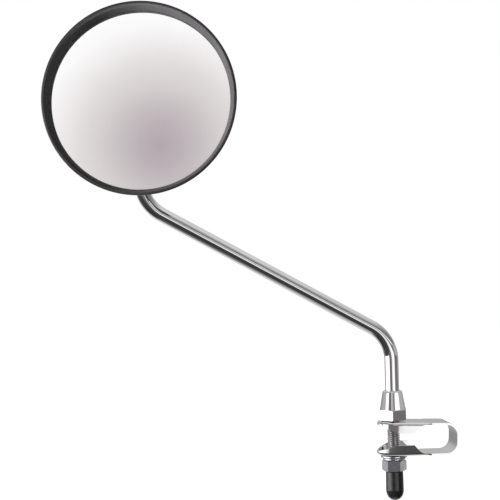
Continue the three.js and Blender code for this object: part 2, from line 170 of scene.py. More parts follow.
def arc(x, z, radius, start, end, steps):
    """Points of an arc in a profile, angles in degrees."""
    points = []
    for i in range(steps + 1):
        angle = math.radians(start + (end - start) * i / steps)
        points.append((x + radius * math.cos(angle), z + radius * math.sin(angle)))
    return points


def rounded(corners, radius, steps=4):
    """A closed outline with its corners rounded as far as its sides allow, but not those on the axis."""
    points = []
    count = len(corners)
    for i, corner in enumerate(corners):
        here = Vector(corner)
        before = Vector(corners[i - 1]) - here
        after = Vector(corners[(i + 1) % count]) - here
        on_axis = abs(here.x) < 1e-9
        turn = before.angle(after) if before.length and after.length else math.pi
        if on_axis or turn > math.radians(176):
            points.append(tuple(here))
            continue
        reach = min(radius / math.tan(turn / 2), 0.45 * before.length, 0.45 * after.length)
        start = here + before.normalized() * reach
        end = here + after.normalized() * reach
        for k in range(steps + 1):
            t = k / steps
            points.append(tuple((1 - t) ** 2 * start + 2 * t * (1 - t) * here + t * t * end))
    return points


def corner_round(trio, radius, steps=5):
    """The points that round the middle one of three corners with a true arc."""
    before, here, after = (Vector(p) for p in trio)
    inward = (before - here).normalized()
    outward = (after - here).normalized()
    half = inward.angle(outward) / 2
    reach = min(radius / math.tan(half), 0.48 * (before - here).length, 0.48 * (after - here).length)
    radius = reach * math.tan(half)
    centre = here + (inward + outward).normalized() * (radius / math.sin(half))
    start = here + inward * reach - centre
    end = here + outward * reach - centre
    points = []
    for k in range(steps + 1):
        spoke = start.lerp(end, k / steps)
        points.append(tuple(centre + spoke.normalized() * radius))
    return points


def bezier(start, first, second, end, steps):
    """Points of a smooth curve pulled towards two control points."""
    corners = [Vector(p) for p in (start, first, second, end)]
    points = []
    for i in range(steps + 1):
        t = i / steps
        weights = ((1 - t) ** 3, 3 * t * (1 - t) ** 2, 3 * t * t * (1 - t), t ** 3)
        points.append(tuple(sum((w * c for w, c in zip(weights, corners)), Vector((0, 0)))))
    return points


def lathe(name, profile, place, segments=144):
    """A solid of revolution about a place's Z axis, from a closed profile of (radius, z) points."""
    rings = []
    vertices = []
    for radius, z in profile:
        if abs(radius) < 1e-9:
            rings.append([len(vertices)] * segments)
            vertices.append((0, 0, z))
            continue
        rings.append(list(range(len(vertices), len(vertices) + segments)))
        for k in range(segments):
            angle = TAU * k / segments
            vertices.append((radius * math.cos(angle), radius * math.sin(angle), z))
    faces = []
    for i, ring in enumerate(rings):
        following = rings[(i + 1) % len(rings)]
        for k in range(segments):
            n = (k + 1) % segments
            corners = [ring[k], ring[n], following[n], following[k]]
            face = [c for j, c in enumerate(corners) if c != corners[j - 1]]
            if len(set(face)) >= 3:
                faces.append(face)
    return from_lists(name, vertices, faces, place)


def side_faces(levels, count):
    """The faces between one ring of vertices and the next, all rings having the same count."""
    faces = []
    for level in range(levels):
        low = level * count
        for k in range(count):
            n = (k + 1) % count
            faces.append([low + k, low + n, low + count + n, low + count + k])
    return faces


def stacked(name, outlines, place=None):
    """A solid through level outlines of equal length, each a list of points in space."""
    count = len(outlines[0])
    vertices = [point for outline in outlines for point in outline]
    faces = [list(range(count)), *side_faces(len(outlines) - 1, count)]
    top = (len(outlines) - 1) * count
    faces.append([top + k for k in range(count)])
    return from_lists(name, vertices, faces, place)


def across(name, outline, half_width):
    """A side outline of (x, z) points, pushed across in Y."""
    return stacked(name, [[(x, y, z) for x, z in outline] for y in (-half_width, half_width)])


def swept(name, path, section):
    """A flat section carried along a path without twisting."""
    vertices = []
    count = len(section)
    tangents = [
        (path[min(i + 1, len(path) - 1)] - path[max(i - 1, 0)]).normalized() for i in range(len(path))
    ]
    side = tangents[0].orthogonal().normalized()
    for i, (point, tangent) in enumerate(zip(path, tangents)):
        if i:
            side = tangents[i - 1].rotation_difference(tangent) @ side
        over = tangent.cross(side)
        vertices += [tuple(point + (side * a + over * b)) for a, b in section]
    faces = side_faces(len(path) - 1, count)
    faces.append(list(range(count)))
    faces.append([(len(path) - 1) * count + k for k in range(count)])
    return from_lists(name, vertices, faces)


def hexagon(across_flats, facing, z):
    """A level hexagon's corners; facing is the direction of the middle of one flat, in degrees."""
    corner = across_flats / 2 / math.cos(math.pi / 6)
    angles = [math.radians(facing + 30 + 60 * i) for i in range(6)]
    return [(corner * math.cos(a), corner * math.sin(a), z) for a in angles]


# ---------- materials ----------


class Paint:
    """A material with a Principled shader and short ways to add procedural detail."""

    def __init__(self, name, **sockets):
        self.material = bpy.data.materials.new(name)
        self.material.use_nodes = True
        self.nodes = self.material.node_tree.nodes
        self.links = self.material.node_tree.links
        self.shader = next(n for n in self.nodes if n.type == "BSDF_PRINCIPLED")
        for socket, value in sockets.items():
            self.shader.inputs[socket.replace("_", " ")].default_value = value
        self.place = self.nodes.new("ShaderNodeTexCoord").outputs["Object"]

    def noise(self, scale, detail=4.0, stretch=(1, 1, 1)):
        mapping = self.nodes.new("ShaderNodeMapping")
        mapping.inputs["Scale"].default_value = stretch
        texture = self.nodes.new("ShaderNodeTexNoise")
        texture.inputs["Scale"].default_value = scale
        texture.inputs["Detail"].default_value = detail
        self.links.new(self.place, mapping.inputs["Vector"])
        self.links.new(mapping.outputs["Vector"], texture.inputs["Vector"])
        return texture.outputs["Fac"]

    def ranged(self, value, low, high, from_low=0.3, from_high=0.7):
        node = self.nodes.new("ShaderNodeMapRange")
        names = ("From Min", "From Max", "To Min", "To Max")
        for socket, number in zip(names, (from_low, from_high, low, high)):
            node.inputs[socket].default_value = number
        self.links.new(value, node.inputs["Value"])
        return node.outputs["Result"]

    def tones(self, value, low, high):
        """The base colour, from one tone to another as the value rises."""
        ramp = self.nodes.new("ShaderNodeValToRGB")
        for element, position, tone in zip(ramp.color_ramp.elements, (0.3, 0.7), (low, high)):
            element.position = position
            element.color = (*tone, 1)
        self.links.new(value, ramp.inputs["Fac"])
        self.links.new(ramp.outputs["Color"], self.shader.inputs["Base Color"])

    def roughness(self, output):
        self.links.new(output, self.shader.inputs["Roughness"])

    def bump(self, height, distance, strength=1.0):
        """Adds a bump on top of the ones before it."""
        node = self.nodes.new("ShaderNodeBump")
        node.inputs["Strength"].default_value = strength
        node.inputs["Distance"].default_value = distance
        self.links.new(height, node.inputs["Height"])
        normal = self.shader.inputs["Normal"]
        if normal.is_linked:
            self.links.new(normal.links[0].from_socket, node.inputs["Normal"])
        self.links.new(node.outputs["Normal"], normal)


def chrome(name, stretch=(1, 1, 1)):
    """Bright chrome plate: nearly perfect, with faint wipe marks and polishing lines."""
    paint = Paint(name, Metallic=1.0)
    smudges = paint.noise(38, 5)
    paint.tones(smudges, (0.78, 0.775, 0.785), (0.84, 0.835, 0.84))
    paint.roughness(paint.ranged(smudges, 0.02, 0.06))
    paint.bump(paint.noise(900, 3, stretch), 4e-6, 0.25)
    return paint.material


def zinc(name, low=(0.50, 0.54, 0.60), high=(0.68, 0.71, 0.75), rough=(0.1, 0.22)):
    """Bright zinc plate, a little blue and cloudy."""
    paint = Paint(name, Metallic=1.0)
    clouds = paint.noise(420, 5)
    paint.tones(clouds, low, high)
    paint.roughness(paint.ranged(paint.noise(900, 4), *rough))
    paint.bump(paint.noise(1500, 3), 8e-6, 0.25)
    return paint.material


def black_plastic():
    """Glossy black moulding with a faint flow texture and small handling marks."""
    paint = Paint("black_plastic", IOR=1.5)
    cloud = paint.noise(60, 6)
    paint.tones(cloud, (0.006, 0.0055, 0.006), (0.011, 0.0105, 0.011))
    paint.roughness(paint.ranged(paint.noise(160, 6), 0.12, 0.24))
    paint.bump(paint.noise(700, 3), 1.2e-5, 0.25)
    return paint.material


def satin_plastic():
    """The bezel's inner wall, left satin by the mould."""
    paint = Paint("satin_plastic", IOR=1.2)
    grain = paint.noise(1500, 4)
    paint.tones(paint.noise(60, 5), (0.024, 0.023, 0.024), (0.032, 0.031, 0.032))
    paint.roughness(paint.ranged(grain, 0.5, 0.6))
    paint.bump(grain, 1e-5, 0.12)
    return paint.material


def moulded_back():
    """The housing's back: the same plastic with a fine spark-eroded grain."""
    paint = Paint("grained_plastic", IOR=1.5)
    grain = paint.noise(2600, 3)
    paint.tones(paint.noise(50, 5), (0.012, 0.0115, 0.012), (0.02, 0.019, 0.02))
    paint.roughness(paint.ranged(grain, 0.34, 0.5))
    paint.bump(grain, 4e-5, 0.5)
    paint.bump(paint.noise(90, 2), 8e-5, 0.15)
    return paint.material


def mirror_silver():
    """Silvered glass, with the slightest haze of dust."""
    paint = Paint("mirror_silver", Metallic=1.0)
    haze = paint.noise(45, 6)
    paint.tones(haze, (0.955, 0.95, 0.955), (0.975, 0.972, 0.975))
    paint.roughness(paint.ranged(haze, 0.008, 0.03))
    return paint.material


def glass_edge():
    """The ground edge and painted back of the glass."""
    paint = Paint("glass_edge", IOR=1.52)
    grind = paint.noise(1500, 4)
    paint.tones(grind, (0.05, 0.09, 0.08), (0.12, 0.18, 0.16))
    paint.roughness(paint.ranged(grind, 0.4, 0.7))
    paint.bump(grind, 3e-5, 0.5)
    return paint.material


def vinyl():
    """Dipped black vinyl: glossy, with a soft uneven skin."""
    paint = Paint("black_vinyl", IOR=1.52)
    paint.tones(paint.noise(220, 4), (0.003, 0.003, 0.0035), (0.007, 0.007, 0.008))
    paint.roughness(paint.ranged(paint.noise(500, 4), 0.07, 0.15))
    paint.bump(paint.noise(230, 3), 8e-5, 0.10)
    paint.bump(paint.noise(1500, 3), 1.5e-5, 0.12)
    return paint.material


def nylon():
    """Natural nylon, milky and slightly waxy."""
    paint = Paint("natural_nylon", IOR=1.53, Subsurface_Weight=0.25)
    paint.shader.inputs["Subsurface Radius"].default_value = (0.002, 0.0018, 0.0014)
    paint.tones(paint.noise(200, 4), (0.72, 0.69, 0.60), (0.80, 0.78, 0.71))
    paint.roughness(paint.ranged(paint.noise(900, 4), 0.38, 0.52))
    paint.bump(paint.noise(1400, 3), 1.5e-5, 0.3)
    return paint.material


def card():
    """Dull grey sheet with pressed fibres."""
    paint = Paint("backing_sheet", IOR=1.4)
    fibres = paint.noise(900, 8, (1, 1, 5))
    paint.tones(fibres, (0.09, 0.088, 0.085), (0.17, 0.165, 0.16))
    paint.roughness(paint.ranged(fibres, 0.75, 0.92))
    paint.bump(fibres, 5e-5, 0.5)
    return paint.material


def settle(piece, body, slot, material, *nodes):
    """Gives a finished piece its material and its body, and hides the CAD nodes it stands for; the slot is not
    used.
    """
    if not any(piece.data.materials):
        piece.data.materials.clear()
        piece.data.materials.append(material)
    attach(piece, body)
    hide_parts(*nodes)
    return piece


# ---------- the mirror head ----------

GLASS_CURVE = 900 * MM
GLASS_THICKNESS = 2 * MM
GLASS_EDGE_STEP = 0.35 * MM
OPENING = 51.2 * MM
LIP_WIDTH = 3 * MM
LIP_FLAT = 1.7 * MM
BEZEL_BACK = 53.4 * MM
BEZEL_SKIRT = 52.65 * MM
RIM_HEIGHT = 1.2 * MM            # how far the housing's rim stands past the glass's front edge
STOP_GAP = 0.3 * MM
CARD_THICKNESS = 1 * MM


def glass_front(radius, centre_w):
    return centre_w - radius * radius / (2 * GLASS_CURVE)


def make_bezel(gloss, satin):
    """The black ring: a rounded lip, a deep satin inner wall and a skirt round the housing."""
    radius, back, lip = measured("bezel_ring", HEAD)
    glass_radius, _, _ = measured("mirror_glass", HEAD)
    stop = glass_edge_w() + STOP_GAP
    seat = glass_radius + STOP_GAP / 2
    shell_rim = glass_edge_w() + RIM_HEIGHT + STOP_GAP
    corners = [
        (OPENING, stop),
        (seat, stop),
        (seat, shell_rim),
        (BEZEL_SKIRT, shell_rim),
        (BEZEL_SKIRT, back),
        (BEZEL_BACK, back),
        (radius - 0.1 * MM, lip - 0.15 * MM),
        (radius - LIP_FLAT, lip - 0.08 * MM),
        (radius - LIP_WIDTH, lip - 1.3 * MM),
    ]
    fillets = [0.25, 0.1, 0.1, 0.1, 0.15, 0.3, 1.2, 0.4, 0.6]
    profile = []
    for i, fillet in enumerate(fillets):
        trio = [corners[i - 1], corners[i], corners[(i + 1) % len(corners)]]
        profile += corner_round(trio, fillet * MM)
    bezel = smooth(lathe("bezel", profile, HEAD, 240))
    bezel.data.materials.append(gloss)
    bezel.data.materials.append(satin)
    inverse = HEAD.inverted()
    for face in bezel.data.polygons:
        place = inverse @ face.center
        wall = math.hypot(place.x, place.y) < radius - LIP_FLAT and place.z < lip - 0.15 * MM
        face.material_index = 1 if wall else 0
    return settle(bezel, "head", "black_plastic", gloss, "bezel_ring")


def glass_edge_w():
    """Where the glass's front face meets its edge, along the mirror's axis."""
    radius, _, top = measured("mirror_glass", HEAD)
    return glass_front(radius, top)


def make_glass(silver, edge):
    """The convex glass: one smooth silvered face, and a ground edge."""
    radius, _, top = measured("mirror_glass", HEAD)
    rings = 24
    front = []
    for i in range(rings + 1):
        r = (radius - GLASS_EDGE_STEP) * (1 - i / rings)
        front.append((r, glass_front(r, top)))
    back = [(r, w - GLASS_THICKNESS) for r, w in reversed(front)]
    edge_w = glass_front(radius, top) - GLASS_EDGE_STEP
    edge_back = edge_w - GLASS_THICKNESS + 2 * GLASS_EDGE_STEP
    profile = [*back, (radius, edge_back), (radius, edge_w), *front]
    piece = smooth(lathe("glass", profile, HEAD, 200), 25)
    piece.data.materials.append(silver)
    piece.data.materials.append(edge)
    outward = HEAD.to_3x3().col[2]
    for face in piece.data.polygons:
        face.material_index = 0 if face.normal.dot(outward) > 0.9 else 1
    return settle(piece, "head", "mirror", silver, "mirror_glass")


def make_card(paint):
    radius, _, _ = measured("backing_card", HEAD)
    _, _, glass_top = measured("mirror_glass", HEAD)
    top = glass_top - GLASS_THICKNESS - STOP_GAP / 2
    rings = 12
    front = [(radius * (1 - i / rings), glass_front(radius * (1 - i / rings), top)) for i in range(rings + 1)]
    back = [(r, w - CARD_THICKNESS) for r, w in reversed(front)]
    return settle(smooth(lathe("card", back + front, HEAD)), "head", "card", paint, "backing_card")


SCREW_CIRCLE = 16 * MM
SHELL_RIM = 52.5 * MM
SHELL_INSIDE = 49.5 * MM
SOCKET = 8.3 * MM
BOSS = 11.3 * MM
BOSS_MOUTH = 7.9 * MM
BOSS_FRONT = 1.9 * MM


def screw_place(i):
    """The frame of one of the three screws round the ball."""
    angle = math.pi / 2 + i * TAU / 3
    return HEAD @ Matrix.Translation((SCREW_CIRCLE * math.cos(angle), SCREW_CIRCLE * math.sin(angle), 0))


def make_housing(paint):
    """The bowl behind the glass: a low dome, a rolled shoulder, and the raised mouth of the ball socket."""
    radius, back, rim_w = measured("housing_shell", HEAD)
    _, bezel_back, _ = measured("bezel_ring", HEAD)
    glass_radius, _, _ = measured("mirror_glass", HEAD)
    ledge = glass_edge_w() - GLASS_THICKNESS - CARD_THICKNESS - STOP_GAP
    seam = bezel_back - STOP_GAP
    seat = glass_radius + STOP_GAP
    foot = (BOSS + 3 * MM, back + 1 * MM)
    shoulder = (radius, seam - 1.7 * MM)
    dome = bezier(foot, (38 * MM, -1.6 * MM), (radius, seam - 7 * MM), shoulder, 40)
    hollow = bezier((SHELL_INSIDE, ledge - 3 * MM), (SHELL_INSIDE, 4.6 * MM), (37 * MM, 0.9 * MM),
                    (BOSS + 1.7 * MM, -1.4 * MM), 24)
    profile = [
        *corner_round([(SOCKET, back + 3 * MM), (BOSS_MOUTH, back), (BOSS, back)], 0.4 * MM),
        *corner_round([(BOSS_MOUTH, back), (BOSS + 1 * MM, back), foot], 0.8 * MM),
        *dome,
        *corner_round([shoulder, (radius, seam), (SHELL_RIM, seam)], 0.25 * MM),
        (SHELL_RIM, seam),
        *corner_round([(SHELL_RIM, seam), (SHELL_RIM, rim_w), (seat, rim_w)], 0.2 * MM),
        (seat, rim_w),
        (seat, ledge),
        (SHELL_INSIDE, ledge),
        *hollow,
        (BOSS, -1.4 * MM),
        (BOSS, BOSS_FRONT),
        (SOCKET, BOSS_FRONT),
        *arc(0, 0, SOCKET, 0, -30, 10),
    ]
    shell = lathe("housing", profile, HEAD, 200)
    for i in range(3):
        spot = screw_place(i)
        post = rounded([(0, -2.4 * MM), (3.2 * MM, -2.4 * MM), (3.2 * MM, 7.9 * MM), (0, 7.9 * MM)], 0.3 * MM)
        hole = [(0, 0.6 * MM), (1.8 * MM, 0.6 * MM), (1.8 * MM, 9 * MM), (0, 9 * MM)]
        combine(shell, lathe("post", post, spot, 40), "UNION")
        combine(shell, lathe("post_hole", hole, spot, 32), "DIFFERENCE")
    return settle(smooth(shell), "head", "black_plastic", paint, "housing_shell")


def make_socket_parts(plastic, steel):
    """The ball's liners, cup, disc spring, retaining plate and screws, inside the housing."""
    liner_out, liner_in = 8 * MM, 6.8 * MM
    for name, node, body, start, end in (
        ("front_ball_liner", "front_liner", "front_liner", 68, 33),
        ("rear_ball_liner", "rear_liner", "rear_liner", -5, -28),
    ):
        profile = arc(0, 0, liner_out, end, start, 14) + arc(0, 0, liner_in, start, end, 14)
        settle(smooth(lathe(name, profile, HEAD, 96)), body, "nylon", plastic, node)
    cup_radius, cup_back, cup_front = measured("pressure_cup", HEAD)
    start = math.degrees(math.asin(cup_back / SOCKET))
    shoulder = corner_round([(cup_radius, cup_back), (cup_radius, cup_front), (0, cup_front)], 1.2 * MM)
    cup = [*arc(0, 0, SOCKET, 90, start, 20), (cup_radius, cup_back), *shoulder, (0, cup_front)]
    cup[0] = (0, SOCKET)
    settle(smooth(lathe("ball_cup", cup, HEAD, 96)), "head", "nylon", plastic, "pressure_cup")
    spring_radius, low, high = measured("disc_spring", HEAD)
    leaf = 0.5 * MM
    inner = 3 * MM
    corners = [(spring_radius, low), (spring_radius, low + leaf), (inner, high), (inner, high - leaf)]
    spring = rounded(corners, 0.12 * MM)
    settle(smooth(lathe("cone_spring", spring, HEAD, 96)), "head", "zinc", steel, "disc_spring")
    make_plate(steel)
    for i in range(3):
        make_plate_screw(i, steel)


def make_plate(steel):
    """The pressed plate: a hat with a rounded crown and three holes in its brim."""
    brim_radius, brim, top = measured("retaining_plate", HEAD)
    crown, sheet = 11.9 * MM, 1 * MM
    corners = [
        (0, top - sheet),
        (crown - sheet, top - sheet),
        (crown - sheet, brim),
        (brim_radius, brim),
        (brim_radius, brim + sheet),
        (crown, brim + sheet),
        (crown, top),
        (0, top),
    ]
    plate = lathe("socket_plate", rounded(corners, 0.5 * MM), HEAD, 96)
    for i in range(3):
        spot = screw_place(i)
        hole = [(0, brim - 1 * MM), (1.8 * MM, brim - 1 * MM), (1.8 * MM, top + 1 * MM), (0, top + 1 * MM)]
        combine(plate, lathe("plate_hole", hole, spot, 32), "DIFFERENCE")
    return settle(smooth(plate), "head", "zinc", steel, "retaining_plate")


def make_plate_screw(i, steel):
    """A small pan-head screw with a cross recess."""
    node = f"plate_screw_{i + 1}"
    spot = screw_place(i)
    head_radius, tip, top = measured(node, spot)
    shank, head_height = 1.5 * MM, 1.8 * MM
    seat = top - head_height
    crown = [(head_radius * math.cos(t), seat + 0.5 * MM + (head_height - 0.5 * MM) * math.sin(t))
             for t in (math.pi / 2 * k / 8 for k in range(8))]
    profile = [(0, tip), (shank, tip + shank), (shank, seat), (head_radius, seat), *crown, (0, top)]
    screw = lathe(f"socket_screw_{i + 1}", profile, spot, 40)
    arm, slot = 1.5 * MM, 0.35 * MM
    for long_side, short_side in ((arm, slot), (slot, arm)):
        outline = [
            (long_side, short_side),
            (-long_side, short_side),
            (-long_side, -short_side),
            (long_side, -short_side),
        ]
        depths = ((top - 1.1 * MM, 0.6), (top + 0.2 * MM, 1.05))
        levels = [[(x * s, y * s, z) for x, y in outline] for z, s in depths]
        combine(screw, stacked("recess", levels, spot), "DIFFERENCE")
    return settle(smooth(screw), "head", "zinc", steel, node)


# ---------- the arm ----------

ROD_BEND = 23.5 * MM
ROD_TOP_BEND = 12 * MM
LOWER_CORNER = 62.2 * MM
DIAGONAL = 172.7 * MM
DIAGONAL_ANGLE = math.radians(30)
NECK_RADIUS = 3 * MM
NECK_LENGTH = 9 * MM


def bent_path(corners, radii):
    """Points along straight runs joined by round bends, close together only in the bends."""
    points = [corners[0]]
    for corner, before, after, radius in zip(corners[1:], corners, corners[2:], radii):
        inward = (corner - before).normalized()
        outward = (after - corner).normalized()
        angle = inward.angle(outward)
        start = corner - inward * radius * math.tan(angle / 2)
        axis = inward.cross(outward).normalized()
        centre = start + axis.cross(inward) * radius
        steps = max(8, round(math.degrees(angle) / 2.5))
        for k in range(steps + 1):
            points.append(centre + Matrix.Rotation(angle * k / steps, 3, axis) @ (start - centre))
    points.append(corners[-1])
    return points


def spaced(points, largest):
    """The same path with extra points, so that no step is longer than the largest."""
    path = [points[0]]
    for point in points[1:]:
        steps = max(1, math.ceil((point - path[-1]).length / largest))
        start = path[-1]
        path += [start.lerp(point, k / steps) for k in range(1, steps + 1)]
    return path


def make_rod(paint):
    """The chrome rod, from the collar to the turned neck in the ball."""
    low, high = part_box("arm_rod")
    rod_radius = high.y
    stud = STUD.translation
    ball = HEAD.translation
    lower = Vector((stud.x, 0, LOWER_CORNER))
    upper = lower + DIAGONAL * Vector((-math.cos(DIAGONAL_ANGLE), 0, math.sin(DIAGONAL_ANGLE)))
    top = Vector((ball.x, 0, ball.z))
    shoulder = Vector((ball.x, ball.y + NECK_LENGTH + 2 * MM, ball.z))
    corners = [Vector((stud.x, 0, low.z)), lower, upper, top, shoulder]
    path = spaced(bent_path(corners, [ROD_BEND, ROD_BEND, ROD_TOP_BEND]), 6 * MM)
    section = [(rod_radius * math.cos(TAU * k / 64), rod_radius * math.sin(TAU * k / 64)) for k in range(64)]
    rod = swept("rod", path, section)
    neck_profile = [
        (0, 0.5 * MM),
        (NECK_RADIUS - 0.4 * MM, 0.5 * MM),
        (NECK_RADIUS, 0.9 * MM),
        (NECK_RADIUS, NECK_LENGTH - 0.6 * MM),
        (NECK_RADIUS + 0.3 * MM, NECK_LENGTH),
        (rod_radius - 0.02 * MM, NECK_LENGTH + 2 * MM),
        (rod_radius - 0.02 * MM, NECK_LENGTH + 3 * MM),
        (0, NECK_LENGTH + 3 * MM),
    ]
    place = Matrix.Translation(ball) @ Matrix.Rotation(-math.pi / 2, 4, "X")
    combine(rod, lathe("neck", neck_profile, place, 64), "UNION")
    return settle(smooth(rod, 40), "arm", "chrome", paint, "arm_rod")


def make_ball(paint):
    """The ball, bored for the neck, with a small flat at its front."""
    place = Matrix.Translation(HEAD.translation) @ Matrix.Rotation(-math.pi / 2, 4, "X")
    radius, _, _ = measured("pivot_ball", place)
    bore = NECK_RADIUS + 0.15 * MM
    mouth = math.degrees(math.acos((bore + 0.3 * MM) / radius))
    profile = [
        *arc(0, 0, radius, -86, mouth, 48),
        (bore, radius * math.sin(math.radians(mouth)) - 0.4 * MM),
        (bore, -0.8 * MM),
        (0, -0.8 * MM),
        (0, radius * math.sin(math.radians(-86))),
    ]
    return settle(smooth(lathe("ball", profile, place, 96)), "arm", "zinc", paint, "pivot_ball")


COLLAR_ACROSS = 16 * MM
COLLAR_HEX = 6.5 * MM
COLLAR_TOP_RADIUS = 5.9 * MM
FACING = -104                    # where one flat of the nut faces, in degrees


def make_collar(paint):
    """The boss at the foot of the rod: a turned cone on a hexagon."""
    _, bottom, top = measured("hex_collar", STUD)
    shoulder = bottom + COLLAR_HEX
    levels = [hexagon(COLLAR_ACROSS, FACING + 30, z) for z in (bottom, shoulder)]
    collar = stacked("collar", levels, STUD)
    soften(collar, 0.28 * MM, 3)
    cone_base = COLLAR_ACROSS / 2 - 0.15 * MM
    rim = corner_round([(cone_base, shoulder), (COLLAR_TOP_RADIUS, top), (0, top)], 0.9 * MM)
    cone = [
        (0, shoulder - 1 * MM),
        (cone_base, shoulder - 1 * MM),
        (cone_base, shoulder + 0.15 * MM),
        *rim,
        (0, top),
    ]
    combine(collar, lathe("cone", cone, STUD, 128), "UNION")
    bore = [(0, bottom - 1 * MM), (4.4 * MM, bottom - 1 * MM), (4.4 * MM, top + 1 * MM), (0, top + 1 * MM)]
    combine(collar, lathe("collar_bore", bore, STUD, 96), "DIFFERENCE")
    return settle(flatten_shading(smooth(collar, 24)), "arm", "chrome", paint, "hex_collar")


THREAD_PITCH = 1.25 * MM
THREAD_DEPTH = 0.75 * MM


def make_stud(paint):
    """The stud with a real right-hand thread, run out into a chamfer at the tip."""
    radius, bottom, top = measured("threaded_stud", STUD)
    around, per_turn = 56, 16
    step = THREAD_PITCH / per_turn
    rows = round((top - bottom) / step)
    vertices = []
    for j in range(rows + 1):
        z = bottom + (top - bottom) * j / rows
        for k in range(around):
            phase = (z / THREAD_PITCH - k / around) % 1.0
            flank = min(1.0, max(0.0, (abs(phase - 0.5) * 2 - 0.1) / 0.75))
            r = radius - THREAD_DEPTH * flank
            r = min(r, radius - THREAD_DEPTH - 0.3 * MM + (z - bottom), radius - 0.6 * MM + (top - z))
            angle = TAU * k / around
            vertices.append((r * math.cos(angle), r * math.sin(angle), z))
    faces = [list(range(around)), [rows * around + k for k in range(around)]]
    faces += side_faces(rows, around)
    stud = smooth(from_lists("stud", vertices, faces, STUD), 40)
    return settle(stud, "arm", "zinc", paint, "threaded_stud")


# ---------- the strap clamp ----------

SHEET = 1.2 * MM
LOOP_OUTER = 9.8 * MM            # half the loop's height at its closed end
LOOP_CORNER = 6.5 * MM
BAR_RADIUS = 11.1 * MM
LEG_END = BAR_RADIUS - LOOP_CORNER - 0.01 * MM
SKIRT_DEPTH = 6.6 * MM
SKIRT_TIP_DEPTH = 2.6 * MM
SKIRT_END = -15.4 * MM
SKIRT_ROOT = -7.3 * MM
SKIRT_SPLAY = 0.35 * MM
EDGE_BEND = 1.9 * MM
INNER_BEND = 0.7 * MM
BEND_FADE = 4 * MM               # how far past the skirt's root the plate's rolled edge fades out
BEND_RUN = 1.4 * BEND_FADE       # the length over which it fades
JAW_END = SKIRT_ROOT + BEND_FADE
STUD_HOLE = 4.4 * MM
TIP_STRETCH = 4 * MM             # the tip is longer than a half circle by this much


def leg_lean(mount):
    """How far a leg of the strap leans up towards the stud, from its mount's direction."""
    axis = next(m["axis"] for m in frame["record"]["mounts"] if m["name"] == mount)
    return math.atan(axis[0] / axis[2])


def jaw_level(inset, bend, z, half_width, tip_x):
    """One level outline of the jaw: a round tip, straight sides, and the bend fading out at the root."""
    centre_x = tip_x + half_width + TIP_STRETCH
    steps = 6
    straight = [JAW_END - BEND_RUN * k / steps for k in range(steps + 1)]

    def side(x):
        fade = min(1.0, max(0.0, (JAW_END - x) / BEND_RUN))
        return half_width - inset - bend * fade * fade * (3 - 2 * fade)

    points = [(x, -side(x), z) for x in straight]
    reach = half_width - inset - bend
    tip_steps = 56
    for k in range(tip_steps + 1):
        angle = -math.pi / 2 - math.pi * k / tip_steps
        points.append((centre_x + (reach + TIP_STRETCH) * math.cos(angle), reach * math.sin(angle), z))
    return points + [(x, side(x), z) for x in reversed(straight)]


def bend_levels(inset, bend, level_z, depth, half_width, tip_x, steps=10):
    """Levels of a jaw solid: up its splayed side and over its rolled edge."""
    width, tip = half_width - SKIRT_SPLAY, tip_x + SKIRT_SPLAY
    levels = [jaw_level(inset - SKIRT_SPLAY, 0, level_z - depth, width, tip)]
    for k in range(steps + 1):
        angle = math.pi / 2 * k / steps
        moved = bend * (1 - math.cos(angle))
        levels.append(jaw_level(inset, moved, level_z - bend * (1 - math.sin(angle)), width, tip))
    return levels


def make_jaw(name, tip_x, stud_x, half_width):
    """The upper jaw: a plate with turned-in edges, whose ends run out in a hollow curve."""
    inner = LOOP_OUTER - SHEET
    jaw = stacked(name, bend_levels(0, EDGE_BEND, LOOP_OUTER, SKIRT_DEPTH + 1 * MM, half_width, tip_x))
    levels = bend_levels(SHEET, INNER_BEND, inner, SKIRT_DEPTH + 2 * MM, half_width, tip_x)
    hollow = [[(x + 1 * MM if x > JAW_END - 0.1 * MM else x, y, z) for x, y, z in level] for level in levels]
    combine(jaw, stacked("hollow", hollow), "DIFFERENCE")
    low_tip, low_side = LOOP_OUTER - SKIRT_TIP_DEPTH, LOOP_OUTER - SKIRT_DEPTH
    high = LOOP_OUTER + 2 * MM
    plate = inner - 0.02 * MM
    run_out = bezier((SKIRT_END, low_side), (SKIRT_END + 3.6 * MM, inner - 1 * MM),
                     (SKIRT_ROOT - 3.4 * MM, plate), (SKIRT_ROOT, plate), 12)
    kept = [
        (tip_x - 2 * MM, high),
        (tip_x - 2 * MM, low_tip),
        (tip_x + 1 * MM, low_tip),
        (stud_x, low_side),
        *run_out,
        (JAW_END + 2 * MM, plate),
        (JAW_END + 2 * MM, high),
    ]
    return combine(jaw, across("kept", kept, half_width + 2 * MM), "INTERSECT")


def loop_outline(start_x):
    """The closed end of the strap from the side, sheet thickness included."""
    corner_z = LOOP_OUTER - SHEET - LOOP_CORNER
    steps = 24
    outside = arc(LEG_END, -corner_z, LOOP_CORNER + SHEET, -90, 0, steps)
    outside += arc(LEG_END, corner_z, LOOP_CORNER + SHEET, 0, 90, steps)
    inside = arc(LEG_END, corner_z, LOOP_CORNER, 90, 0, steps)
    inside += arc(LEG_END, -corner_z, LOOP_CORNER, 0, -90, steps)
    inner = LOOP_OUTER - SHEET
    return [(start_x, -LOOP_OUTER), *outside, (start_x, LOOP_OUTER), (start_x, inner), *inside,
            (start_x, -inner)]


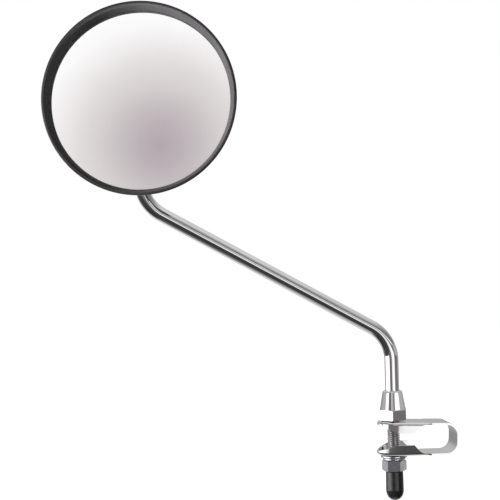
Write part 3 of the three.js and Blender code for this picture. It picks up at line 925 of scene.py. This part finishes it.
def make_strap(paint):
    """The strap: two stamped jaws joined by the loop that goes round the handlebar."""
    half_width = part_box("clamp_strap")[1].y
    upper_lean, lower_lean = leg_lean("upper_leg_inside"), leg_lean("lower_leg_inside")
    tilt, spread = (upper_lean + lower_lean) / 2, (upper_lean - lower_lean) / 2
    stud_x = STUD.translation.x
    strap = across("strap", loop_outline(JAW_END - 1.5 * MM), half_width - SKIRT_SPLAY)
    upper = make_jaw("upper_jaw", stud_x - half_width, stud_x, half_width)
    lower = add_object("lower_jaw", upper.data.copy())
    lower.data.transform(Matrix.Scale(-1, 4, (0, 0, 1)))
    lower.data.flip_normals()
    combine(strap, upper, "UNION")
    combine(strap, lower, "UNION")
    for vertex in strap.data.vertices:
        lean = max(0.0, LEG_END - vertex.co.x) * math.tan(spread)
        vertex.co.z += math.copysign(lean, vertex.co.z)
    strap.data.transform(Matrix.Rotation(tilt, 4, "Y"))
    reach = 2 * LOOP_OUTER
    hole = [(0, -reach), (STUD_HOLE, -reach), (STUD_HOLE, reach), (0, reach)]
    combine(strap, lathe("stud_hole", hole, STUD, 64), "DIFFERENCE")
    soften(strap, 0.5 * MM, 3, 50)
    return settle(flatten_shading(smooth(strap, 30)), "clamp", "chrome", paint, "clamp_strap")


# ---------- washers, nut and end cap ----------


def make_washer(paint):
    radius, low, high = measured("flat_washer", STUD)
    corners = [(4.3 * MM, low), (radius, low), (radius, high), (4.3 * MM, high)]
    profile = rounded(corners, 0.25 * MM)
    return settle(smooth(lathe("washer", profile, STUD, 96)), "washers", "zinc", paint, "flat_washer")


def make_spring_washer(paint):
    """The split washer: a square wire bent into a turn, with its ends a little apart."""
    radius, low, high = measured("spring_washer", STUD)
    inner = 4.35 * MM
    lift = 0.35 * MM
    thick = high - low - lift
    wide = radius - inner
    gap = math.radians(9)
    split = math.radians(FACING + 78)
    middle = (radius + inner) / 2
    corners = [(-wide / 2, -thick / 2), (wide / 2, -thick / 2), (wide / 2, thick / 2), (-wide / 2, thick / 2)]
    section = rounded(corners, 0.2 * MM, 3)
    steps = 96
    vertices = []
    for k in range(steps + 1):
        share = k / steps
        angle = split + gap / 2 + (TAU - gap) * share
        z = (low + high) / 2 + lift * (0.5 - share)
        for a, b in section:
            r = middle + a
            vertices.append((r * math.cos(angle), r * math.sin(angle), z + b))
    count = len(section)
    faces = [list(range(count)), [steps * count + k for k in range(count)]]
    faces += side_faces(steps, count)
    washer = from_lists("split_washer", vertices, faces, STUD)
    return settle(smooth(washer), "washers", "zinc", paint, "spring_washer")


def make_nut(paint):
    """The M8 nut: a hexagon whose corners are turned off at both faces, with a plain bore."""
    corner, low, high = measured("clamp_nut", STUD)
    across_flats = 2 * corner * math.cos(math.pi / 6)
    nut = stacked("nut", [hexagon(across_flats, FACING, z) for z in (low, high)], STUD)
    drop = (corner - across_flats / 2) * math.tan(math.radians(32))
    rounding = [
        (0, low),
        (across_flats / 2 - 0.1 * MM, low),
        (corner + 0.1 * MM, low + drop),
        (corner + 0.1 * MM, high - drop),
        (across_flats / 2 - 0.1 * MM, high),
        (0, high),
    ]
    combine(nut, lathe("nut_rounding", rounding, STUD, 128), "INTERSECT")
    mouth, crest = 4.9 * MM, 4.05 * MM
    bore = [
        (0, low - 1 * MM),
        (mouth, low - 0.6 * MM),
        (crest, low + 0.6 * MM),
        (crest, high - 0.6 * MM),
        (mouth, high + 0.6 * MM),
        (0, high + 1 * MM),
    ]
    combine(nut, lathe("nut_bore", bore, STUD, 64), "DIFFERENCE")
    soften(nut, 0.12 * MM, 2, 25)
    return settle(flatten_shading(smooth(nut, 30)), "nut", "zinc", paint, "clamp_nut")


def make_cap(paint):
    """The dipped cap: slightly bellied, with a thick rolled rim and a round end."""
    belly, low, high = measured("end_cap", STUD)
    length = high - low
    belly_z = high - 0.6 * length
    mouth, bore = 5.3 * MM, 4.15 * MM
    dome = [(belly * math.sin(t), belly_z - (belly_z - low) * math.cos(t) ** 0.8)
            for t in (math.pi / 2 * k / 28 for k in range(29))]
    dome[0] = (0, low)
    rim = corner_round([dome[-1], (mouth, high), (bore, high)], 0.45 * MM, 6)
    lip = corner_round([(mouth, high), (bore, high), (bore, low)], 0.3 * MM, 4)
    profile = [*dome, *rim, *lip, (bore, low + 2 * MM), (0, low + 2 * MM)]
    return settle(smooth(lathe("cap", profile, STUD, 96), 50), "cap", "vinyl", paint, "end_cap")


# ---------- camera, light and floor ----------

CAMERA_TURN = math.radians(7.3)      # how far the camera stands to the left of the bar's line
CAMERA_TILT = math.radians(1.7)      # how far it looks down
CAMERA_ROLL = math.radians(1.75)
CAMERA_DISTANCE = 0.9
CAMERA_LENS = 105.6
AIM_FROM_MIDDLE = Vector((0.0008, 0.0400, 0.0055))


def camera_axes():
    """The camera's right, up and forward directions."""
    forward = Vector((
        math.sin(CAMERA_TURN) * math.cos(CAMERA_TILT),
        math.cos(CAMERA_TURN) * math.cos(CAMERA_TILT),
        -math.sin(CAMERA_TILT),
    ))
    right = Vector((math.cos(CAMERA_TURN), -math.sin(CAMERA_TURN), 0))
    up = right.cross(forward)
    turn = Matrix.Rotation(CAMERA_ROLL, 3, forward)
    return turn @ right, turn @ up, forward


def make_camera():
    right, up, forward = camera_axes()
    middle = (CAD_BOX[0] + CAD_BOX[1]) / 2
    data = bpy.data.cameras.new("camera")
    data.sensor_width = 36
    data.lens = CAMERA_LENS
    data.clip_end = 20
    camera = bpy.data.objects.new("camera", data)
    bpy.context.scene.collection.objects.link(camera)
    turn = Matrix((right, up, -forward)).transposed().to_4x4()
    camera.matrix_world = Matrix.Translation(middle + AIM_FROM_MIDDLE - forward * CAMERA_DISTANCE) @ turn
    bpy.context.scene.camera = camera
    return camera


class Sky:
    """World nodes: a white studio with darker bands for the chrome to show."""

    def __init__(self):
        world = bpy.data.worlds.new("studio")
        world.use_nodes = True
        bpy.context.scene.world = world
        self.tree = world.node_tree
        self.tree.nodes.clear()
        self.direction = self.tree.nodes.new("ShaderNodeTexCoord").outputs["Generated"]

    def node(self, kind, inputs=(), **settings):
        made = self.tree.nodes.new(kind)
        for key, value in settings.items():
            setattr(made, key, value)
        for index, value in enumerate(inputs):
            if value is None:
                continue
            if isinstance(value, bpy.types.NodeSocket):
                self.tree.links.new(value, made.inputs[index])
            else:
                made.inputs[index].default_value = value
        return made

    def along(self, axis):
        node = self.node("ShaderNodeVectorMath", (self.direction, axis), operation="DOT_PRODUCT")
        return node.outputs["Value"]

    def math(self, operation, *values):
        return self.node("ShaderNodeMath", values, operation=operation).outputs[0]

    def smoothstep(self, value, low, high):
        """0 below low, 1 above high."""
        node = self.node("ShaderNodeMapRange", (value, low, high, 0.0, 1.0), interpolation_type="SMOOTHSTEP")
        return node.outputs["Result"]

    def ramp(self, value, stops):
        node = self.node("ShaderNodeValToRGB", (value,))
        elements = node.color_ramp.elements
        while len(elements) < len(stops):
            elements.new(0.5)
        for element, (position, level) in zip(elements, stops):
            element.position = position
            element.color = (*tinted(level), 1)
        return node.outputs["Color"]

    def mix(self, share, first, second):
        node = self.node("ShaderNodeMix", data_type="RGBA")
        for name, value in (("Factor", share), ("A", first), ("B", second)):
            socket = next(s for s in node.inputs if s.name == name and s.enabled)
            if isinstance(value, bpy.types.NodeSocket):
                self.tree.links.new(value, socket)
            else:
                socket.default_value = value
        return next(s for s in node.outputs if s.enabled)


def tinted(level):
    """A grey level, or a colour as it is."""
    return level if isinstance(level, tuple) else (level, level, level)


def banded(bands, soft=0.008):
    """Ramp stops for bands given as (degrees where the band starts, level), from -180 to 180."""
    stops = []
    for i, (start, level) in enumerate(bands):
        place = (start + 180) / 360
        if i:
            stops.append((max(0.0, place - soft), bands[i - 1][1]))
        stops.append((min(1.0, place + (soft if i else 0)), level))
    return stops


def head_reflection(sideways, upward):
    """The direction that the camera sees in the mirror at a point of the glass, given in its own frame."""
    _, _, top = measured("mirror_glass", HEAD)
    point = HEAD @ Vector((sideways, upward, top))
    normal = (HEAD.to_3x3() @ Vector((sideways / GLASS_CURVE, upward / GLASS_CURVE, 1))).normalized()
    ray = (point - bpy.context.scene.camera.matrix_world.translation).normalized()
    return ray - 2 * ray.dot(normal) * normal


DARK = (0.20, 0.175, 0.178)


def sine(degrees):
    return math.sin(math.radians(degrees))


def heights(stops):
    """Ramp stops from elevations in degrees and brightnesses."""
    return [(degrees / 180 + 0.5, (value, value * 0.99, value * 0.985)) for degrees, value in stops]


def make_studio():
    """The surroundings: bright at the left, above and behind, with dark gaps near the camera and below."""
    sky = Sky()
    back = Vector((-math.sin(CAMERA_TURN), -math.cos(CAMERA_TURN), 0))
    right = Vector((math.cos(CAMERA_TURN), -math.sin(CAMERA_TURN), 0))
    towards, aside = sky.along(back), sky.along(right)
    height = sky.along(Vector((0, 0, 1)))
    azimuth = sky.math("ARCTAN2", aside, towards)
    turn = sky.math("ADD", sky.math("DIVIDE", azimuth, TAU), 0.5)
    elevation = sky.math("ADD", sky.math("DIVIDE", sky.math("ARCSINE", height), math.pi), 0.5)
    level_bands = sky.ramp(turn, banded([
        (-180, 0.31), (-150, 0.6), (-132, 1.4), (-99, 3.0), (-55, 1.5), (-38, DARK), (2, 1.05),
        (22, 1.4), (36, 1.1), (48, DARK), (108, 0.6), (150, 0.31),
    ]))
    upper_bands = sky.ramp(turn, banded([
        (-180, 0.62), (-74, 1.6), (-45, DARK), (17, 1.6), (64, 0.45), (150, 0.62),
    ], 0.01))
    gap_bands = sky.ramp(turn, banded([
        (-180, 0.5), (-74, 1.5), (-42, DARK), (64, 0.5), (150, 0.42),
    ], 0.01))
    rear = sky.ramp(turn, banded([(-180, 1.0), (-122, 0.0), (122, 1.0)], 0.04))
    front_heights = sky.ramp(elevation, heights([
        (-90, 0.7), (-70, 0.45), (-66, 0.2), (-58, 0.06), (-47, 0.04), (-17, 0.07), (-12, 0.2),
        (12, 0.19), (21, 0.22), (32, 0.3), (39, 0.43), (45, 0.57), (50, 0.76), (90, 0.75),
    ]))
    rear_heights = sky.ramp(elevation, heights([
        (-90, 0.85), (-38, 0.8), (-25, 0.6), (-14, 0.34), (-6, 0.3), (2, 0.38), (9, 0.52), (20, 0.58),
        (32, 0.72), (90, 0.75),
    ]))
    colour = sky.mix(sky.smoothstep(height, sine(-1.5), sine(0)), level_bands, gap_bands)
    colour = sky.mix(sky.smoothstep(height, sine(7.5), sine(9)), colour, upper_bands)
    colour = sky.mix(sky.smoothstep(height, sine(11), sine(13.5)), colour, front_heights)
    colour = sky.mix(sky.smoothstep(height, sine(-12), sine(-16)), colour, front_heights)
    colour = sky.mix(rear, colour, rear_heights)
    colour = add_photographer(sky, colour, height)
    lit = sky.node("ShaderNodeBackground", (colour, 1.0)).outputs[0]
    seen = sky.node("ShaderNodeBackground", ((1.0, 1.0, 1.0, 1), 1.0)).outputs[0]
    camera_ray = sky.node("ShaderNodeLightPath").outputs["Is Camera Ray"]
    mixed = sky.node("ShaderNodeMixShader", (camera_ray, lit, seen)).outputs[0]
    output = sky.node("ShaderNodeOutputWorld")
    sky.tree.links.new(mixed, output.inputs["Surface"])


def add_photographer(sky, colour, height):
    """A soft mauve shape that the mirror looks at, fading to white round it."""
    largest = 20
    centre = head_reflection(10.8 * MM, -26.2 * MM)
    apart = sky.math("ARCCOSINE", sky.along(centre))
    share = sky.math("DIVIDE", apart, math.radians(largest))
    fade = sky.ramp(share, [
        (0, (0.47, 0.405, 0.44)),
        (2.2 / largest, (0.51, 0.455, 0.48)),
        (4.4 / largest, (0.585, 0.545, 0.56)),
        (6.7 / largest, (0.70, 0.657, 0.657)),
        (9 / largest, (0.78, 0.75, 0.745)),
        (13.4 / largest, (1.0, 0.995, 0.995)),
        (1, (1.1, 1.1, 1.1)),
    ])
    middle = sky.math("ARCCOSINE", sky.along(head_reflection(0, 0)))
    near = sky.smoothstep(sky.math("MULTIPLY", middle, -1), math.radians(-10.3), math.radians(-9.7))
    above = sky.smoothstep(height, sine(1), sine(4))
    return sky.mix(sky.math("MULTIPLY", near, above), colour, fade)


def make_floor():
    """A plain pale floor well below the part, which is held up by its clamp."""
    paint = Paint("pale_floor", Roughness=0.9, Emission_Strength=0.55)
    paint.shader.inputs["Emission Color"].default_value = (1, 1, 1, 1)
    paint.tones(paint.noise(3, 4), (0.86, 0.86, 0.86), (0.9, 0.9, 0.9))
    drop = 0.25
    level = CAD_BOX[0].z - drop
    outline = [(4 * math.cos(TAU * k / 96), 4 * math.sin(TAU * k / 96)) for k in range(96)]
    floor = stacked("floor", [[(x, y, z) for x, y in outline] for z in (level - 0.01, level)])
    floor.data.materials.append(paint.material)
    floor.visible_glossy = False


def make_lights():
    """A soft key from the upper left, a weak fill from the right and a low light for the head's wall."""
    middle = (CAD_BOX[0] + CAD_BOX[1]) / 2
    head = HEAD.translation
    for name, target, offset, size, power in (
        ("key", middle, Vector((-0.9, -0.8, 0.9)), 0.7, 4.0),
        ("fill", middle, Vector((1.0, -0.5, 0.3)), 0.6, 1.5),
        ("low", head, Vector((-0.4, -0.13, -0.08)), 0.14, 15.0),
    ):
        data = bpy.data.lights.new(name, "AREA")
        data.size = size
        data.energy = power
        light = bpy.data.objects.new(name, data)
        bpy.context.scene.collection.objects.link(light)
        light.location = target + offset
        light.rotation_mode = "QUATERNION"
        light.rotation_quaternion = (-offset).to_track_quat("-Z", "Y")
        light.visible_glossy = False


# ---------- assembly ----------

bpy.context.scene.view_settings.view_transform = "Standard"
make_camera()
make_studio()
make_lights()
make_floor()

CHROME = chrome("bright_chrome")
ZINC = zinc("zinc_plate")
BLACK = black_plastic()
make_bezel(BLACK, satin_plastic())
make_glass(mirror_silver(), glass_edge())
make_card(card())
make_housing(moulded_back())
make_socket_parts(nylon(), ZINC)
make_rod(CHROME)
make_ball(zinc("ball_steel", (0.5, 0.5, 0.51), (0.62, 0.62, 0.63)))
make_collar(CHROME)
make_stud(zinc("stud_plate", (0.56, 0.54, 0.56), (0.74, 0.72, 0.74), (0.05, 0.1)))
make_strap(CHROME)
make_washer(ZINC)
make_spring_washer(ZINC)
make_nut(ZINC)
make_cap(vinyl())
